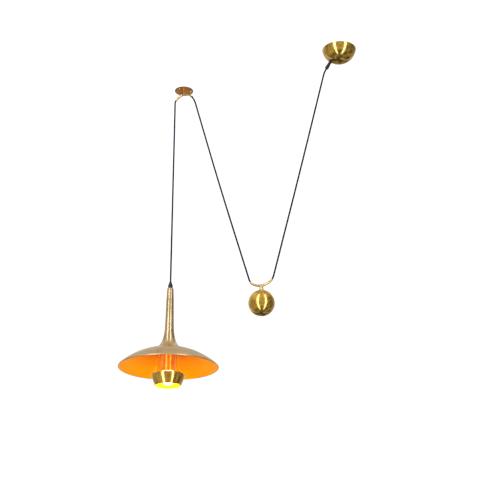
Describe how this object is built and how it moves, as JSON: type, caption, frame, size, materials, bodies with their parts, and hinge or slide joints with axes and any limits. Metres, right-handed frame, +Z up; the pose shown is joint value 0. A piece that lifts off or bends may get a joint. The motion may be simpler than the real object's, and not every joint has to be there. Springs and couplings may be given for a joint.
{
  "type": "rise and fall pendant lamp",
  "caption": "Pendant lamp with a shallow dome shade on a flared stem, hung over a ceiling hook and balanced by a ball weight riding in the loop of its cord.",
  "frame": {"origin": "middle of the canopy on the ceiling, on the upper face of its bracket", "axes": "+Z up out of the ceiling face, +X from the hook to the canopy, the cord and both hanging parts in the plane y = 0"},
  "size_m": [1.0465, 0.401, 1.3415],
  "materials": {
    "polished_brass": "polished",
    "satin_brass": "satin",
    "black_plastic": "matt",
    "black_cord": "woven textile",
    "zinc_steel": "zinc plated",
    "bright_nickel": "bright",
    "cast_iron_core": "as cast",
    "white_nylon": "moulded",
    "brown_insulation": "moulded",
    "blue_insulation": "moulded",
    "green_insulation": "moulded",
    "contact_brass": "plain",
    "bulb_cap_metal": "bright",
    "opal_glass": "opal"
  },
  "bodies": {
    "ceiling": {"canopy_dome": "polished_brass", "hook_plate": "polished_brass", "hook_post": "polished_brass", "hook_tube": "polished_brass", "canopy_cord_grip": "black_plastic", "hook_bush_1": "black_plastic", "hook_bush_2": "black_plastic", "cord_in_canopy": "black_cord", "cord_in_hook_tube": "black_cord", "ceiling_bracket": "zinc_steel", "bracket_screw_1": "zinc_steel", "bracket_screw_2": "zinc_steel", "terminal_screws": "zinc_steel", "terminal_fixing_screw": "zinc_steel", "earth_screw": "zinc_steel", "canopy_grip_nut": "zinc_steel", "hook_post_screw": "zinc_steel", "hook_screw_1": "bright_nickel", "hook_screw_2": "bright_nickel", "hook_screw_3": "bright_nickel", "dome_screw_1": "bright_nickel", "dome_screw_2": "bright_nickel", "terminal_block": "white_nylon", "live_wire": "brown_insulation", "neutral_wire": "blue_insulation", "earth_wire": "green_insulation"},
    "lamp_bend": {"cord_hook_bend": "black_cord"},
    "lamp_cord": {"cord_lamp_drop": "black_cord"},
    "lamp": {"lamp_cord_grip": "black_plastic", "cord_in_stem": "black_cord", "threaded_rod": "zinc_steel", "stem": "polished_brass", "shade": "satin_brass", "shade_washer": "zinc_steel", "rod_carrier": "polished_brass", "socket_tube": "polished_brass", "lock_nut": "zinc_steel", "holder_cap": "black_plastic", "holder_body": "black_plastic", "holder_shell": "contact_brass", "holder_contact": "contact_brass", "lamp_wire_1": "brown_insulation", "lamp_wire_2": "blue_insulation", "bulb_globe": "opal_glass", "bulb_cap": "bulb_cap_metal", "bulb_contact": "contact_brass", "reflector_cup": "polished_brass", "cup_rod_1": "polished_brass", "cup_rod_2": "polished_brass", "cup_rod_3": "polished_brass"},
    "weight_cords": {"cord_hook_leg": "black_cord", "cord_canopy_leg": "black_cord"},
    "weight": {"saddle_tube": "polished_brass", "saddle_bush_1": "black_plastic", "saddle_bush_2": "black_plastic", "cord_in_saddle_tube": "black_cord", "weight_neck": "polished_brass", "weight_stud": "zinc_steel", "weight_shell": "polished_brass", "weight_core": "cast_iron_core"}
  },
  "joints": [
    {"name": "lamp_swing_across", "type": "hinge", "parent": "ceiling", "child": "lamp_bend", "pos_m": [-0.777, 0, -0.05099], "axis": [1, 0, 0], "range_deg": [-10, 10], "deforming": ["cord_hook_bend"]},
    {"name": "lamp_swing_along", "type": "hinge", "parent": "lamp_bend", "child": "lamp_cord", "pos_m": [-0.777, 0, -0.05099], "axis": [0, 1, 0], "range_deg": [-10, 10], "deforming": ["cord_lamp_drop"]},
    {"name": "lamp_rise", "type": "slide", "parent": "lamp_cord", "child": "lamp", "axis": [0, 0, 1], "range_m": [-0.6, 0.6], "deforming": ["cord_lamp_drop"]},
    {"name": "weight_swing", "type": "hinge", "parent": "ceiling", "child": "weight_cords", "pos_m": [-0.3625, 0, -0.05719], "axis": [0.9986, 0, -0.0535], "range_deg": [-10, 10], "deforming": ["cord_hook_leg", "cord_canopy_leg"]},
    {"name": "weight_rise", "type": "slide", "parent": "weight_cords", "child": "weight", "axis": [0, 0, 1], "range_m": [-0.33, 0.33], "deforming": ["cord_hook_leg", "cord_canopy_leg"]}
  ],
  "couplings": [
    {"joint": "weight_rise", "follows": "lamp_rise", "ratio": -0.525}
  ]
}
